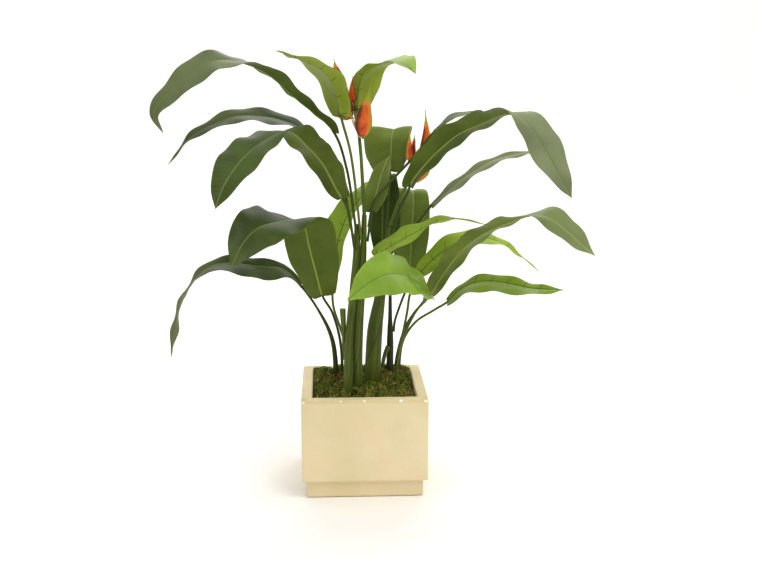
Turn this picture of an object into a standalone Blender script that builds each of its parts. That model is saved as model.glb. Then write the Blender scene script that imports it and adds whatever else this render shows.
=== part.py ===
"""Potted heliconia in a square planter.

One object for each piece, in metres, with +Z up and the viewer on the -Y side.
The origin is the middle of the planter's underside.
"""

import math
import random

import bmesh
import bpy
import numpy as np
from mathutils import noise

MM = 0.001

# Planter
POT_SIDE = 250 * MM
POT_HEIGHT = 204 * MM
POT_WALL = 22 * MM
POT_EDGE = 2.5 * MM
FOOT_HEIGHT = 35 * MM
FOOT_SETBACK = 9 * MM
POT_FLOOR = 40 * MM

# Filling
GAP = 0.3 * MM
SOIL_TOP = 184 * MM
MOSS_TOP = 196 * MM

# Leaves and bracts
BLADE_THICKNESS = 0.9 * MM
STALK_RADIUS = 2.6 * MM
FLATTEN = 9 * MM
LOBE = 15 * MM
WAVE_LENGTH = 69 * MM
LEAST_HALF_WIDTH = 0.8 * MM
BRACT_THICKNESS = 1.8 * MM
UP = np.array([0.0, 0.0, 1.0])

# Stems, each as the points of its middle line and its radius at each point, in millimetres
STEMS = {
    "stem_a_left": ([(-33, -56, 150), (-29, -46, 300), (-21, -34, 390), (-13, -25, 480), (-11, -21, 535)],
                    [9.6, 9.0, 8.1, 7.2, 6.0]),
    "stem_a_right": ([(-13, -30, 150), (-11.7, -36, 300), (-5, -27.5, 390), (0.5, -19.5, 480), (3, -15, 552)],
                     [11.4, 10.6, 8.7, 6.8, 5.2]),
    "stem_b": ([(18, 7, 150), (24.5, 6, 310), (34, 5, 375), (51, 5, 498), (55, 5, 525)],
               [18.0, 16.0, 12.0, 6.5, 5.2]),
    "stem_c": ([(57, 44, 150), (58, 45, 272), (58, 45, 330), (58, 45, 400)],
               [8.0, 7.4, 4.6, 3.0]),
}


def clear_scene():
    for item in list(bpy.data.objects):
        bpy.data.objects.remove(item)


def material(name, colour, roughness):
    made = bpy.data.materials.new(name)
    made.use_nodes = True
    shader = made.node_tree.nodes["Principled BSDF"]
    shader.inputs["Base Color"].default_value = (*colour, 1)
    shader.inputs["Roughness"].default_value = roughness
    shader.inputs["Metallic"].default_value = 0
    made.diffuse_color = (*colour, 1)
    return made


def add_mesh(name, points, faces, surface, smooth=True):
    mesh = bpy.data.meshes.new(name)
    mesh.from_pydata([tuple(map(float, p)) for p in points], [], faces)
    mesh.materials.append(surface)
    if smooth:
        mesh.shade_smooth()
    made = bpy.data.objects.new(name, mesh)
    bpy.context.scene.collection.objects.link(made)
    return made


def unit(vectors):
    return vectors / np.linalg.norm(vectors, axis=-1, keepdims=True)


def smooth_path(knots, steps=24):
    """A smooth curve through the knots, and the knot number that each of its points belongs to."""
    knots = np.array(knots, float)
    ends = np.vstack([2 * knots[0] - knots[1], knots, 2 * knots[-1] - knots[-2]])
    gaps = np.sqrt(np.linalg.norm(np.diff(ends, axis=0), axis=1)) + 1e-9
    points = []
    marks = []
    for i in range(1, len(ends) - 2):
        before, start, end, after = ends[i - 1:i + 3]
        d0, d1, d2 = gaps[i - 1:i + 2]
        leave = d1 * ((start - before) / d0 - (end - before) / (d0 + d1) + (end - start) / d1)
        arrive = d1 * ((end - start) / d1 - (after - start) / (d1 + d2) + (after - end) / d2)
        last = i == len(ends) - 3
        t = np.linspace(0, 1, steps + 1)[: None if last else -1, None]
        points.append(start * (2 * t**3 - 3 * t**2 + 1) + leave * (t**3 - 2 * t**2 + t)
                      + end * (3 * t**2 - 2 * t**3) + arrive * (t**3 - t**2))
        marks.append(i - 1 + t[:, 0])
    return np.vstack(points), np.concatenate(marks)


def stations(points, marks, count, blade_from=0, bend=0.03):
    """Count places along a path, closer together where it bends and where a blade starts."""
    step = np.linalg.norm(np.diff(points, axis=0), axis=1)
    along = np.concatenate([[0], np.cumsum(step)])
    tangent = unit(np.gradient(points, along, axis=0))
    turn = np.linalg.norm(np.diff(tangent, axis=0), axis=1)
    start = np.interp(blade_from, marks, along) + 12 * MM
    near = 3 * np.exp(-((along[1:] - start) / (12 * MM)) ** 2) if blade_from else 0
    effort = np.concatenate([[0], np.cumsum(step * (1 + near) + bend * turn)])
    wanted = np.interp(np.linspace(0, effort[-1], count), effort, along)
    placed = np.column_stack([np.interp(wanted, along, points[:, k]) for k in range(3)])
    tangents = unit(np.column_stack([np.interp(wanted, along, tangent[:, k]) for k in range(3)]))
    return placed, tangents, wanted, np.interp(wanted, along, marks)


def loft(rings):
    """Points and triangles of a closed tube through rings of ten points, split alike on both faces."""
    count, around = len(rings), len(rings[0])
    faces = []
    for i in range(count - 1):
        for k in range(around):
            a = i * around + k
            b = i * around + (k + 1) % around
            c, d = a + around, b + around
            if k < around // 2:
                faces += [(a, b, d), (a, d, c)]
            else:
                faces += [(a, b, c), (b, d, c)]
    last = (count - 1) * around
    for k in range(around // 2 - 1):
        other = around - 1 - k
        faces += [(k + 1, k, other), (k + 1, other, other - 1)]
        faces += [(last + k, last + k + 1, last + other), (last + k + 1, last + other - 1, last + other)]
    return np.vstack(rings), faces


def blade_outline(u, widest, full):
    """Half width of a paddle blade as a share of its widest, from base (u = 0) to tip (u = 1)."""
    base = (1 - (1 - np.clip(u / widest, 0, 1)) ** 2.6) ** 0.48
    tip = 1 - np.clip((u - widest) / (1 - widest), 0, 1) ** full
    return base * tip


def bract_outline(u, widest, full):
    """Half width of a bract, flattened out: broad at once, then drawn out to a beak."""
    return np.minimum(1, (u / widest + 0.03) ** 0.6) * (1 - u**full) ** 1.8


def beside(stem, height, bearing):
    """Where a leaf stalk of the usual thickness stands against a stem, at this height and on this side."""
    points, radii = STEMS[stem]
    path, marks = smooth_path(points)
    place = [np.interp(height, path[:, 2], path[:, k]) for k in range(2)]
    radius = np.interp(np.interp(height, path[:, 2], marks), range(len(radii)), radii)
    reach = radius + (STALK_RADIUS + GAP) / MM
    side = math.radians(bearing)
    return place[0] + reach * math.cos(side), place[1] + reach * math.sin(side)


def frames(root, heading, knots, count, blade_from, twist):
    """Stations of a path that rises in the upright plane of its heading: places, frames and knot numbers."""
    angle = math.radians(heading)
    out = np.array([math.cos(angle), math.sin(angle), 0])
    right = np.cross(out, UP)
    knots = np.array([tuple(knot) + (0,) * (3 - len(knot)) for knot in knots], float)
    world = np.array([*root, 0]) + knots[:, :1] * out + knots[:, 1:2] * UP + knots[:, 2:] * right
    points, marks = smooth_path(world * MM)
    places, tangents, along, marks = stations(points, marks, count, blade_from)
    side = unit(right - tangents * (tangents @ right)[:, None])
    normal = np.cross(side, tangents)
    turn = np.radians(twist(marks))[:, None]
    return places, tangents, side * np.cos(turn) - normal * np.sin(turn), \
        normal * np.cos(turn) + side * np.sin(turn), along, marks


def leaf_rings(root, heading, knots, blade_from, halves, roll=(0, 0), fold=14, cup=-10, wave=4,
               phase=0.0, foot=2.6, extra=0.0, thickness=BLADE_THICKNESS, outline=blade_outline,
               widest=0.38, full=2.0, sink=0.0, count=27, lobe=LOBE):
    """Rings of ten points for a leaf: a round stalk that flattens into a folded, waved blade.

    The path runs through the knots, (out, height[, sway]) from the root in the plane of the heading.
    foot is the stalk's radius at the root, halves are the widths left and right of the rib, and widest
    and full say where the blade is widest and how blunt its tip is. fold and cup tilt the inner and
    outer half of the blade, less where it is narrow, sink lowers its rib below the path, as a share of
    its depth, and roll turns it about its rib, from its base to its tip.
    """
    last = len(knots) - 1

    def twist(marks):
        u = np.clip((marks - blade_from) / (last - blade_from), 0, 1)
        return np.interp(u, np.linspace(0, 1, len(roll)), roll)

    places, tangents, side, normal, along, marks = frames(root, heading, knots, count, blade_from, twist)
    start = np.interp(blade_from, marks, along)
    u = np.clip((along - start) / (along[-1] - start), 0, 1)
    flat = np.clip((along - start) / FLATTEN, 0, 1)
    flat = flat**2 * (3 - 2 * flat)
    share = outline(u, widest, full)
    stalk = np.interp(marks, (0, 1, 2), (foot * MM, (foot * MM + STALK_RADIUS) / 2, STALK_RADIUS)) + extra
    rings = []
    for i in range(len(along)):
        widths = [max(half * MM * share[i], LEAST_HALF_WIDTH) for half in halves]
        narrow = min(1, min(widths) / (4 * thickness))
        crest = math.radians(fold) * narrow
        brim = math.radians(fold + cup) * narrow
        tilts = [0, (crest + brim) / 2, brim]
        flat_x = [0, math.cos(crest) / 2, (math.cos(crest) + math.cos(brim)) / 2]
        flat_y = [0, math.sin(crest) / 2, (math.sin(crest) + math.sin(brim)) / 2]
        ring = []
        for layer, order in ((1, (-2, -1, 0, 1, 2)), (-1, (2, 1, 0, -1, -2))):
            for j in order:
                hand, part = (1 if j > 0 else -1), abs(j)
                width = widths[j > 0]
                ripple = math.sin(math.tau * along[i] / WAVE_LENGTH + phase + hand) * (part / 2) ** 2
                ripple *= wave * MM * min(1, width / (12 * MM))
                rib = 1.0 if part else 1.0 + (0.4 if layer > 0 else 1.8) * (1 - u[i])
                off = layer * thickness / 2 * rib
                across = hand * width * flat_x[part] - hand * off * math.sin(tilts[part])
                high = width * (flat_y[part] - sink * flat_y[2]) + off * math.cos(tilts[part]) + ripple
                back = lobe * (part / 2) ** 2 * max(0, 1 - u[i] * 9)
                turn = math.radians(90 - 36 * j) if layer > 0 else math.radians(-90 + 36 * j)
                round_x, round_y = stalk[i] * math.cos(turn), stalk[i] * math.sin(turn)
                blend = flat[i]
                ring.append(places[i] + side[i] * (blend * across + (1 - blend) * round_x)
                            + normal[i] * (blend * high + (1 - blend) * round_y)
                            - tangents[i] * blend * back)
        rings.append(np.array(ring))
    return rings


# Leaves: foot (x, y), heading seen from above, points of the middle line as (out, height), the number of
# the point where the blade starts (a half lies between two points), and the widths of the left and the
# right half, in millimetres and degrees
LEAVES = {
    "leaf_top_left": dict(
        root=beside("stem_a_left", 522, 256), heading=212, blade_from=2, halves=(43, 30), full=2.8,
        tone="dark",
        knots=[(0, 522), (22, 648), (51, 719), (128, 780), (212, 839), (303, 852), (370, 811),
               (415, 763), (400, 730)],
        roll=(-5, -5, 0, -30, -34, -32, -30)),
    "leaf_mid_left": dict(
        root=beside("stem_a_left", 505, 137), heading=190, blade_from=1, halves=(40, 28), full=1.8,
        tone="dark",
        knots=[(0, 505), (37, 665), (82, 710), (142, 741), (222, 749), (267, 735), (312, 710),
               (357, 660)],
        roll=(10, -22, -25, -15)),
    "leaf_front_left": dict(
        root=beside("stem_a_left", 485, 244), heading=238, blade_from=1.5, halves=(38, 40), widest=0.45,
        full=5.0, tone="dark",
        knots=[(0, 485), (26, 570), (66, 612), (114, 665), (164, 700), (224, 731), (304, 718),
               (369, 690), (414, 655), (439, 620)],
        roll=(15, 5, 10, -20, -25)),
    "leaf_fold_left": dict(
        root=(-42, 52), heading=235, blade_from=3, halves=(56, 52), full=4.0, foot=3.4, tone="dark",
        knots=[(0, 160), (5, 270), (35, 345), (68, 385), (92, 442), (113, 495), (127, 535), (153, 551),
               (205, 555), (275, 550), (320, 525), (350, 490)],
        roll=(25, 25, 3, -40, -50)),
    "leaf_low_left": dict(
        root=(-53, 57), heading=195, blade_from=3, halves=(40, 20), full=3.0, foot=6.5, tone="dark",
        knots=[(0, 160), (10, 280), (42, 350), (78, 402), (110, 435), (155, 443), (235, 455),
               (270, 445), (315, 390), (335, 330), (345, 270)],
        roll=(-10, -35, -45, -25, -5, 5, -20, -30)),
    "leaf_back_left": dict(
        root=(-27, 70), heading=60, blade_from=4, halves=(40, 18), foot=3.2, tone="light",
        knots=[(0, 160, 0), (0, 250, -6), (0, 300, -22), (5, 340, -40), (8, 372, -44), (15, 460, -38),
               (35, 520, -28), (70, 560, -15), (120, 590, 0), (170, 600, 15)],
        roll=(0, 0)),
    "leaf_top_centre": dict(
        root=beside("stem_a_left", 505, 328), heading=222, blade_from=2, halves=(34, 54), tone="light",
        knots=[(0, 505), (27, 675), (52, 748), (60, 782), (75, 813), (101, 836), (149, 854),
               (208, 870)],
        roll=(0, 0, 0)),
    "leaf_top_right": dict(
        root=beside("stem_a_right", 520, 66), heading=300, blade_from=2, halves=(60, 17), tone="light",
        knots=[(0, 520), (-14, 640), (-30, 755), (-25, 795), (-6, 828), (36, 842), (93, 850),
               (133, 845), (173, 830)],
        roll=(0, 0, 8, 10)),
    "leaf_back_centre": dict(
        root=beside("stem_a_right", 498, 32), heading=55, blade_from=1, halves=(27, 27), tone="light",
        knots=[(0, 498), (16, 555), (38, 600), (62, 640), (82, 662)],
        roll=(0, 0)),
    "leaf_back_upright": dict(
        root=beside("stem_b", 440, 83), heading=72, blade_from=2, halves=(58, 42), tone="dark",
        knots=[(0, 440), (20, 530), (44, 630), (52, 670), (60, 702), (74, 714), (94, 695), (100, 650)],
        roll=(-5, -5)),
    "leaf_behind_left": dict(
        root=beside("stem_b", 400, 85), heading=85, blade_from=1, halves=(27, 38), tone="dark",
        knots=[(0, 400), (35, 455), (52, 520), (62, 580), (80, 612), (112, 614), (146, 592)],
        roll=(0, 0)),
    "leaf_behind_right": dict(
        root=beside("stem_c", 296, 35), heading=90, blade_from=5, halves=(42, 36), tone="dark",
        knots=[(0, 296, 0), (8, 317, 3), (15, 334, 9), (24, 356, 18), (36, 378, 28), (51, 405, 35),
               (58, 480, 41), (65, 560, 45), (80, 580, 45), (120, 575, 45), (168, 540, 45)],
        roll=(0, 0)),
    "leaf_right_behind": dict(
        root=beside("stem_a_right", 528, 357), heading=10, blade_from=4, halves=(24, 20), tone="dark",
        knots=[(0, 528), (12, 580), (40, 612), (95, 668), (135, 715), (185, 745), (222, 751),
               (255, 736)],
        roll=(0, 0)),
    "leaf_right_arched": dict(
        root=beside("stem_b", 512, 320), heading=325, blade_from=2.5, halves=(40, 44), widest=0.5, full=3.5,
        tone="dark",
        knots=[(0, 512), (18, 565), (34, 595), (46, 622), (84, 665), (144, 714), (195, 737), (256, 757),
               (296, 736), (323, 698), (352, 654), (380, 610)],
        roll=(-22, -24, -22, -18, -10, 12, 32, 38, 40)),
    "leaf_right_narrow": dict(
        root=beside("stem_b", 472, 11), heading=8, blade_from=3, halves=(11, 23), full=2.5, tone="dark",
        knots=[(0, 472), (27, 505), (57, 535), (82, 565), (122, 600), (162, 630), (202, 652),
               (242, 664), (277, 669), (317, 666)],
        roll=(20, 25, 25)),
    "leaf_low_right": dict(
        root=(71, 78), heading=325, blade_from=5, halves=(38, 36), widest=0.6, full=3.0, foot=4.2,
        tone="dark",
        knots=[(0, 160), (1, 215), (10, 262), (26, 305), (49, 340), (77, 370), (117, 430), (157, 480),
               (197, 512), (262, 545), (328, 562), (380, 535), (410, 513), (437, 495)],
        roll=(-28, -28, -22, -16, -14, 12, 30, 32, 30)),
    "leaf_right_light": dict(
        root=(69, 47), heading=8, blade_from=7, halves=(29, 34), full=1.5, foot=3.2, tone="light",
        knots=[(0, 160), (2, 205), (6, 245), (12, 276), (19, 307), (25, 338), (32, 380), (53, 420),
               (88, 455), (120, 476), (148, 486), (183, 490), (220, 480), (266, 450), (312, 412)],
        roll=(35, 30, 20, 10)),
    "leaf_foot_right": dict(
        root=(80, 83), heading=335, blade_from=5, halves=(20, 40), full=2.5, foot=3.2, tone="light",
        knots=[(0, 160), (0, 215), (9, 270), (36, 312), (76, 341), (108, 363), (133, 389), (163, 406),
               (203, 413), (243, 410), (283, 405), (350, 407)],
        roll=(30, 30, 25)),
    "leaf_front": dict(
        root=(71, 69), heading=240, blade_from=4, halves=(54, 46), widest=0.46, foot=3.2, tone="light",
        knots=[(0, 160, 0), (0, 215, -3), (0, 270, -14), (10, 335, -47), (27, 390, -88), (79, 418, -90),
               (148, 448, -88), (217, 460, -86), (287, 452, -80), (345, 435, -76)],
        roll=(-50, -50, -45)),
    "leaf_centre_right": dict(
        root=beside("stem_a_right", 396, 343), heading=345, blade_from=2, halves=(34, 34), widest=0.3,
        full=0.8, tone="light",
        knots=[(0, 396), (6, 440), (18, 470), (47, 492), (80, 512), (108, 528), (135, 544), (172, 552),
               (240, 543)],
        roll=(30, 25, 0)),
}

# Bracts: the same form as a leaf, folded into a boat about the middle of its depth
BRACTS = {
    "bract_left_1": dict(
        root=(-4, -21.4), heading=0, half_width=41, full=2.2, widest=0.3,
        knots=[(4, 702, -1.1), (4, 716, -0.4), (6, 735, 1.5), (9, 757, 2.2), (13, 780, 2.2), (18, 808, 2)]),
    "bract_left_2": dict(
        root=(-15, -8), heading=180, half_width=44, full=4.0,
        knots=[(2.2, 741), (15, 752), (27, 770), (30, 795), (33, 822), (40, 856)]),
    "bract_left_3": dict(
        root=(-15, -7), heading=180, half_width=16, full=2.5,
        knots=[(0.5, 768.5), (3, 780), (5, 795), (5, 808), (3, 822)]),
    "bract_right_1": dict(
        root=(95, 19.9), heading=0, half_width=36, full=2.6,
        knots=[(4, 612), (14, 622), (25, 640), (31, 668), (33, 700), (32, 730), (30, 757)]),
    "bract_right_2": dict(
        root=(98, 24.6), heading=180, half_width=18, full=2.2,
        knots=[(3, 650), (2, 664), (3, 682), (2, 716)]),
    "bract_right_3": dict(
        root=(103, 32), heading=60, half_width=14, full=2.2,
        knots=[(0, 658.5), (3, 672), (4, 690), (4, 706)]),
}

# Flower stalks, like the stems
FLOWER_STALKS = {
    "flower_stalk_left": ([(3, -15, 552.8), (-1, -16, 630), (-5, -13, 692), (-10, -7, 728), (-14, -7, 750),
                           (-15, -7, 768)],
                          [4.0, 3.6, 3.3, 3.0, 2.6, 2.2]),
    "flower_stalk_right": ([(55.6, 5.4, 526.3), (73, 14, 575), (88, 21, 604), (97, 28, 630), (103, 32, 658)],
                           [3.8, 3.4, 3.2, 2.8, 2.0]),
}

# Cut leaf stubs at the foot of two stems
STUBS = {
    "cut_stub_left": ([(-38, -37.8, 262), (-39.6, -35.5, 318), (-41.5, -33, 366)], [3.4, 5.0, 6.4]),
    "cut_stub_right": ([(40.8, 12.6, 234), (44.6, 13.8, 254), (52, 16, 274)], [3.8, 4.4, 5.2]),
}


def tube_rings(points, radii, count=9, extra=0.0):
    """Rings of ten points around a smooth middle line."""
    path, marks = smooth_path(np.array(points, float) * MM)
    places, tangents, _, marks = stations(path, marks, count)
    radius = np.interp(marks, np.arange(len(radii)), radii) * MM + extra
    side = unit(np.array([1.0, 0, 0]) - tangents * tangents[:, :1])
    normal = np.cross(side, tangents)
    turns = np.radians([162, 126, 90, 54, 18, -18, -54, -90, -126, -162])
    return [places[i] + radius[i] * (np.outer(np.cos(turns), side[i]) + np.outer(np.sin(turns), normal[i]))
            for i in range(len(places))]


def bract_rings(half_width, widest=0.2, **kw):
    return leaf_rings(blade_from=0, halves=(half_width, half_width), fold=55, cup=32, wave=0, foot=2.2,
                      thickness=BRACT_THICKNESS, outline=bract_outline, widest=widest, sink=0.5, count=15,
                      lobe=0, **kw)


def add_rings(name, rings, surface):
    points, faces = loft(rings)
    return add_mesh(name, points, faces, surface)


def add_planter(surface):
    """The cast shell: foot, body, rim and the hollow inside, as square loops one above the other."""
    inner = POT_SIDE - 2 * POT_WALL
    foot = POT_SIDE - 2 * FOOT_SETBACK
    levels = [(foot, 0), (foot, FOOT_HEIGHT), (POT_SIDE, FOOT_HEIGHT), (POT_SIDE, POT_HEIGHT),
              (inner, POT_HEIGHT), (inner, POT_FLOOR)]
    shape = bmesh.new()
    loops = []
    for side, height in levels:
        half = side / 2
        loops.append([shape.verts.new((x * half, y * half, height))
                      for x, y in ((-1, -1), (1, -1), (1, 1), (-1, 1))])
    for low, high in zip(loops, loops[1:]):
        for k in range(4):
            shape.faces.new((low[k], low[(k + 1) % 4], high[(k + 1) % 4], high[k]))
    shape.faces.new(loops[0][::-1])
    shape.faces.new(loops[-1])
    plain = set(loops[1] + loops[-1])
    rounded = [edge for edge in shape.edges if not plain & set(edge.verts)]
    rounded += [edge for edge in shape.edges if set(edge.verts) & set(loops[0]) and edge not in rounded]
    bmesh.ops.bevel(shape, geom=rounded, offset=POT_EDGE, segments=2, profile=0.5, affect="EDGES")
    mesh = bpy.data.meshes.new("planter")
    shape.to_mesh(mesh)
    shape.free()
    mesh.materials.append(surface)
    planter = bpy.data.objects.new("planter", mesh)
    bpy.context.scene.collection.objects.link(planter)
    return planter


def add_root_cutters():
    """One cutter for each stem or leaf stalk that stands in the soil, a little thicker than it."""
    holes = bpy.data.collections.new("root holes")
    bpy.context.scene.collection.children.link(holes)
    clearance = GAP * 1.3
    for name, (points, radii) in STEMS.items():
        add_cutter(holes, name, tube_rings(points, radii, count=9, extra=clearance))
    for name, leaf in LEAVES.items():
        if leaf["knots"][0][1] * MM < SOIL_TOP:
            add_cutter(holes, name, leaf_stalk_rings(leaf, clearance))
    return holes


def leaf_stalk_rings(leaf, extra):
    """The round lower part of a leaf's stalk, as far as it stands in the soil and the moss."""
    kw = {key: value for key, value in leaf.items() if key != "tone"}
    rings = leaf_rings(extra=extra, **kw)
    return [ring for ring in rings if ring[:, 2].min() < MOSS_TOP + 60 * MM]


def add_cutter(holes, name, rings):
    low = np.array(rings[0])
    low[:, 2] -= GAP
    points, faces = loft([low] + rings[1:])
    mesh = bpy.data.meshes.new(name + " hole")
    mesh.from_pydata([tuple(map(float, p)) for p in points], [], faces)
    cutter = bpy.data.objects.new(name + " hole", mesh)
    cutter.hide_render = True
    cutter.display_type = "WIRE"
    holes.objects.link(cutter)


def cut_holes(body, holes):
    cut = body.modifiers.new("root holes", "BOOLEAN")
    cut.operation = "DIFFERENCE"
    cut.operand_type = "COLLECTION"
    cut.collection = holes
    cut.solver = "EXACT"


def add_soil(surface, holes):
    side = POT_SIDE - 2 * POT_WALL - 2 * GAP
    bottom = POT_FLOOR + GAP
    shape = bmesh.new()
    bmesh.ops.create_cube(shape, size=1)
    for corner in shape.verts:
        corner.co.x *= side
        corner.co.y *= side
        corner.co.z = SOIL_TOP if corner.co.z > 0 else bottom
    mesh = bpy.data.meshes.new("soil")
    shape.to_mesh(mesh)
    shape.free()
    mesh.materials.append(surface)
    soil = bpy.data.objects.new("soil", mesh)
    bpy.context.scene.collection.objects.link(soil)
    cut_holes(soil, holes)
    return soil


def moss_height(x, y):
    """A mound round the stems, with lumps, that falls towards the rim."""
    edge = max(abs(x), abs(y)) / (POT_SIDE / 2 - POT_WALL)
    mound = 14 * MM * math.exp(-((x - 25 * MM) ** 2 + (y - 30 * MM) ** 2) / (2 * (55 * MM) ** 2))
    lumps = 5 * MM * noise.noise((x * 45, y * 45, 0.3)) + 2.5 * MM * noise.noise((x * 120, y * 120, 4.0))
    return MOSS_TOP + mound + lumps - 7 * MM * max(0, edge - 0.8) / 0.2


def add_moss(surface, holes, cells=17):
    side = POT_SIDE - 2 * POT_WALL - 4 * GAP
    shape = bmesh.new()
    bmesh.ops.create_grid(shape, x_segments=cells, y_segments=cells, size=side / 2)
    rim = [edge for edge in shape.edges if edge.is_boundary]
    for point in shape.verts:
        point.co.z = moss_height(point.co.x, point.co.y)
    skirt = bmesh.ops.extrude_edge_only(shape, edges=rim)["geom"]
    for point in (item for item in skirt if isinstance(item, bmesh.types.BMVert)):
        point.co.z = SOIL_TOP + GAP
    bmesh.ops.holes_fill(shape, edges=[edge for edge in shape.edges if edge.is_boundary], sides=0)
    bmesh.ops.recalc_face_normals(shape, faces=shape.faces)
    mesh = bpy.data.meshes.new("moss")
    shape.to_mesh(mesh)
    shape.free()
    mesh.materials.append(surface)
    moss = bpy.data.objects.new("moss", mesh)
    bpy.context.scene.collection.objects.link(moss)
    cut_holes(moss, holes)
    return moss


def add_florets(surface):
    """Pointed florets in the mouth of the lowest bract, joined at their feet."""
    draw = random.Random(4)
    foot = np.array([-2.6, -20.7, 705.8]) * MM
    parts = []
    for k in range(5):
        lean = math.radians(9 + 4 * k)
        turn = math.radians(178 + 4 * (k % 3))
        length = (47 + 7 * draw.random()) * MM
        out = np.array([math.cos(turn) * math.sin(lean), math.sin(turn) * math.sin(lean), math.cos(lean)])
        start = foot - np.array([0.8 * k, 0, 0]) * MM
        parts.append((start, start + out * length * 0.6, start + out * length + 3 * MM * UP))
    first = None
    for k, points in enumerate(parts):
        rings = tube_rings([p / MM for p in points], [2.2, 1.7, 0.5], count=5)
        petal = add_rings("florets" if first is None else f"floret {k}", rings, surface)
        if first is None:
            first = petal
            continue
        petal.hide_render = True
        petal.display_type = "WIRE"
        join = first.modifiers.new(f"floret {k}", "BOOLEAN")
        join.operation = "UNION"
        join.object = petal
        join.solver = "EXACT"
    return first


def main():
    clear_scene()
    cast = material("planter cast", (0.83, 0.72, 0.48), 0.75)
    earth = material("soil", (0.06, 0.04, 0.025), 0.95)
    green = material("moss", (0.16, 0.17, 0.04), 0.95)
    bark = material("stem", (0.12, 0.20, 0.05), 0.5)
    tones = {
        "dark": material("leaf dark", (0.07, 0.14, 0.05), 0.4),
        "light": material("leaf light", (0.24, 0.38, 0.07), 0.4),
    }
    red = material("bract", (0.75, 0.10, 0.03), 0.4)
    cream = material("floret", (0.85, 0.75, 0.40), 0.5)
    holes = add_root_cutters()
    add_planter(cast)
    add_soil(earth, holes)
    add_moss(green, holes)
    for name, (points, radii) in {**STEMS, **FLOWER_STALKS, **STUBS}.items():
        add_rings(name, tube_rings(points, radii), bark)
    for number, (name, leaf) in enumerate(LEAVES.items()):
        form = {key: value for key, value in leaf.items() if key != "tone"}
        add_rings(name, leaf_rings(phase=1.7 * number, **form), tones[leaf["tone"]])
    for name, form in BRACTS.items():
        add_rings(name, bract_rings(**form), red)
    add_florets(cream)


if __name__ == "__main__":
    main()
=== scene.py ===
import math
import random

import bmesh
import bpy
import numpy as np
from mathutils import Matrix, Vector, noise


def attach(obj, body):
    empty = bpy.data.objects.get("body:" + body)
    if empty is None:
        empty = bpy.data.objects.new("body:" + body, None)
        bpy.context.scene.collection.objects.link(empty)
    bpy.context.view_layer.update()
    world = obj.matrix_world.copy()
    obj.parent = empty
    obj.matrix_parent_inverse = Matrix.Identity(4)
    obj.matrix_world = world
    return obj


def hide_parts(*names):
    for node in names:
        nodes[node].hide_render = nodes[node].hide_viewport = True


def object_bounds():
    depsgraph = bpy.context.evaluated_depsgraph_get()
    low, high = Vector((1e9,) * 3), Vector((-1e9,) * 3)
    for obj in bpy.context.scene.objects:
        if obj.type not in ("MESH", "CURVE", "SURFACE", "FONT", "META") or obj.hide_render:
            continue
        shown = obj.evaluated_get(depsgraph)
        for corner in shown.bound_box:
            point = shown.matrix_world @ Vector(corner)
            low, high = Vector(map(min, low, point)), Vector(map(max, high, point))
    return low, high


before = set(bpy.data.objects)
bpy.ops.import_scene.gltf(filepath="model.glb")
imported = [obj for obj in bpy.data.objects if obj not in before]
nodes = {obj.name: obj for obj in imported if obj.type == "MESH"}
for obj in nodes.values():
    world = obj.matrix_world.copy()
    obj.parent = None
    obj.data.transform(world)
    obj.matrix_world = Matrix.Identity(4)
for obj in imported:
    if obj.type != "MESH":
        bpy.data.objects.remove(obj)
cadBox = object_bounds()
print("frame loaded:", len(nodes), "nodes")

mm = 0.001
up = np.array([0.0, 0.0, 1.0])
boxGap = 0.1 * mm  # how far the look stays inside the box of the solids
cadLow = np.array(cadBox[0]) + boxGap
cadHigh = np.array(cadBox[1]) - boxGap


# small helpers for objects and edit mode

def deselectAll():
    if bpy.context.mode != "OBJECT":
        bpy.ops.object.mode_set(mode="OBJECT")
    bpy.ops.object.select_all(action="DESELECT")


def pickOnly(piece):
    deselectAll()
    piece.select_set(True)
    bpy.context.view_layer.objects.active = piece


def addObject(name, data):
    piece = bpy.data.objects.new(name, data)
    bpy.context.scene.collection.objects.link(piece)
    return piece


# names the object that an operator has just made
def newest(name):
    piece = bpy.context.object
    piece.name = name
    piece.data.name = name
    return piece


def points(piece, kind="co"):
    flat = np.empty(len(piece.data.vertices) * 3)
    piece.data.vertices.foreach_get(kind, flat)
    return flat.reshape(-1, 3)


def setPoints(piece, places):
    piece.data.vertices.foreach_set("co", np.ascontiguousarray(places, float).ravel())
    piece.data.update()


def addValues(piece, name, values):
    layer = piece.data.attributes.new(name, "FLOAT", "POINT")
    layer.data.foreach_set("value", np.ascontiguousarray(values, np.float32).ravel())


# selects faces or edges in edit mode by a rule
def pickWhere(piece, kind, wanted):
    bpy.ops.mesh.select_mode(type=kind)
    bpy.ops.mesh.select_all(action="DESELECT")
    shape = bmesh.from_edit_mesh(piece.data)
    for item in (shape.faces if kind == "FACE" else shape.edges):
        if wanted(item):
            item.select_set(True)
    bmesh.update_edit_mesh(piece.data)


# joins pieces into the first of them
def joinAll(pieces, name):
    deselectAll()
    for piece in pieces:
        piece.select_set(True)
    bpy.context.view_layer.objects.active = pieces[0]
    bpy.ops.object.join()
    return newest(name)


def faceOutward(piece):
    pickOnly(piece)
    bpy.ops.object.mode_set(mode="EDIT")
    bpy.ops.mesh.select_all(action="SELECT")
    bpy.ops.mesh.normals_make_consistent(inside=False)
    bpy.ops.object.mode_set(mode="OBJECT")


def smoothShade(piece, angle=50):
    pickOnly(piece)
    bpy.ops.object.shade_smooth_by_angle(angle=math.radians(angle))


def dress(piece, finish, slotName, *nodeNames):
    piece.data.materials.clear()
    piece.data.materials.append(finish)
    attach(piece, "root")
    if nodeNames:
        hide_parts(*nodeNames)


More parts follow.
